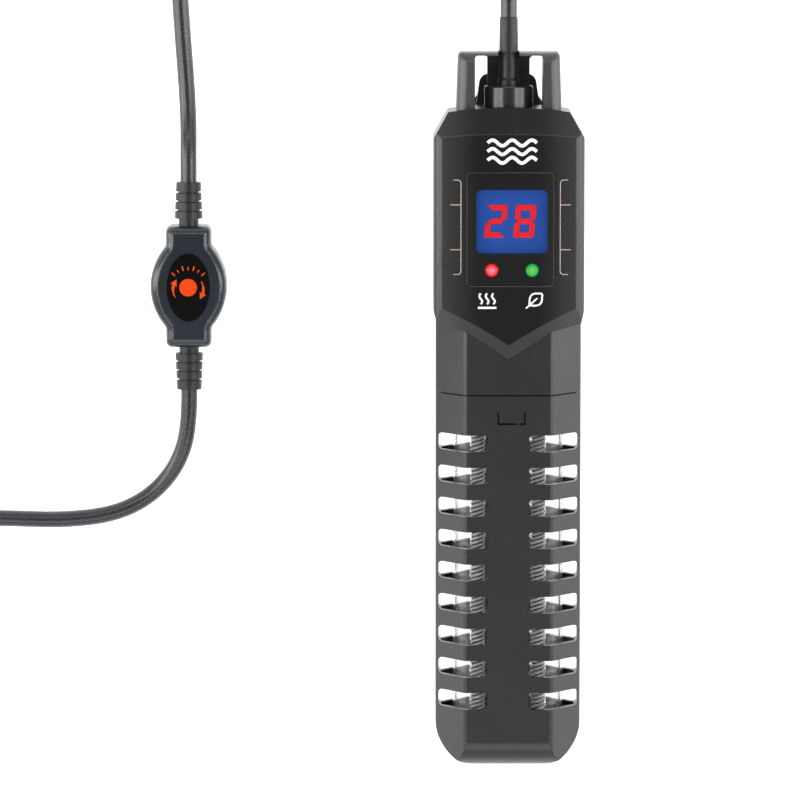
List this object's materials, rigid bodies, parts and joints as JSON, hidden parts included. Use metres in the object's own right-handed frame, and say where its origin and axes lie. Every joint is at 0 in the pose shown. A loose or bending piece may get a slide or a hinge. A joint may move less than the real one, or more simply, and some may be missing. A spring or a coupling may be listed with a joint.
{
  "type": "submersible aquarium heater",
  "caption": "Submersible aquarium heater with twin quartz tubes in a slotted guard, a head with a digital display, and a hand controller on its mains lead.",
  "frame": {"origin": "centre of the heater's outline on the plane of the suction cup rims, cable and controller left out", "axes": "+X across the heater, +Y along it towards the head and cable end, +Z out of the display face"},
  "size_m": [0.2956, 0.3709, 0.0432],
  "materials": {
    "head_black": "satin moulded plastic",
    "body_black": "fine textured moulded plastic",
    "crown_grey": "satin moulded plastic",
    "gland_black": "satin moulded nylon",
    "rubber_black": "soft matt rubber",
    "cup_rubber": "smooth soft rubber",
    "cable_black": "smooth cable sheath",
    "tie_black": "matt band",
    "steel": "stainless",
    "wire_alloy": "bright resistance wire",
    "core_ceramic": "unglazed ceramic",
    "quartz": "clear quartz",
    "display_glass": "clear window",
    "display_blue": "backlit blue field",
    "digit_red": "lit figure",
    "lamp_red": "lamp lens",
    "lamp_green": "lamp lens",
    "board_green": "solder mask",
    "component_black": "moulded case",
    "component_yellow": "moulded case",
    "controller_black": "glossy moulded plastic",
    "panel_gloss": "gloss label",
    "button_orange": "moulded button",
    "pin_brass": "plated contact"
  },
  "bodies": {
    "heater": {"head_front_shell": "head_black", "head_rear_shell": "head_black", "head_screws": "steel", "head_circuit_board": "board_green", "display_module": "display_blue", "display_window": "display_glass", "display_digits": "digit_red", "heating_lamp": "lamp_red", "energy_lamp": "lamp_green", "power_relay": "component_black", "suppression_capacitor": "component_yellow", "crown_guard": "crown_grey", "cable_gland": "gland_black", "gland_lock_nut": "gland_black", "cable_boot": "rubber_black", "cable_tail": "cable_black", "body_sleeve": "body_black", "neck_gasket": "rubber_black", "tube_seal": "rubber_black", "temperature_probe": "steel", "water_sensor_pins": "steel", "quartz_tube_left": "quartz", "quartz_tube_right": "quartz", "element_core_left": "core_ceramic", "element_core_right": "core_ceramic", "heating_wire_left": "wire_alloy", "heating_wire_right": "wire_alloy", "core_spacers": "core_ceramic", "element_wires": "wire_alloy", "thermal_fuse": "steel", "upper_suction_cup": "cup_rubber", "upper_cup_bracket": "body_black", "controller_lower_case": "controller_black", "controller_upper_case": "controller_black", "controller_panel": "panel_gloss", "controller_circuit_board": "board_green", "tact_switch": "component_black", "controller_screws": "steel", "controller_upper_relief": "rubber_black", "controller_lower_relief": "rubber_black", "heater_lead_run": "cable_black", "heater_lead_coil": "cable_black", "heater_lead_tie": "tie_black", "heater_lead_tail": "cable_black", "mains_lead_run": "cable_black", "mains_lead_coil": "cable_black", "mains_lead_tie": "tie_black", "plug_strain_relief": "rubber_black", "plug_body": "rubber_black", "plug_pins": "pin_brass"},
    "guard": {"guard_front_wall": "body_black", "guard_rear_wall": "body_black", "guard_left_wall": "body_black", "guard_right_wall": "body_black", "guard_end_cap": "body_black", "tube_foot_cushion": "rubber_black", "lower_cup_bracket": "body_black", "lower_suction_cup": "cup_rubber"},
    "button": {"set_button": "button_orange"}
  },
  "joints": [
    {"name": "guard_slide", "type": "slide", "parent": "heater", "child": "guard", "axis": [0, -1, 0], "range_m": [0, 0.128]},
    {"name": "set_press", "type": "slide", "parent": "heater", "child": "button", "axis": [0, 0, -1], "range_m": [0, 0.0006], "stiffness_N_per_m": 600, "springref_m": -0.0005}
  ]
}
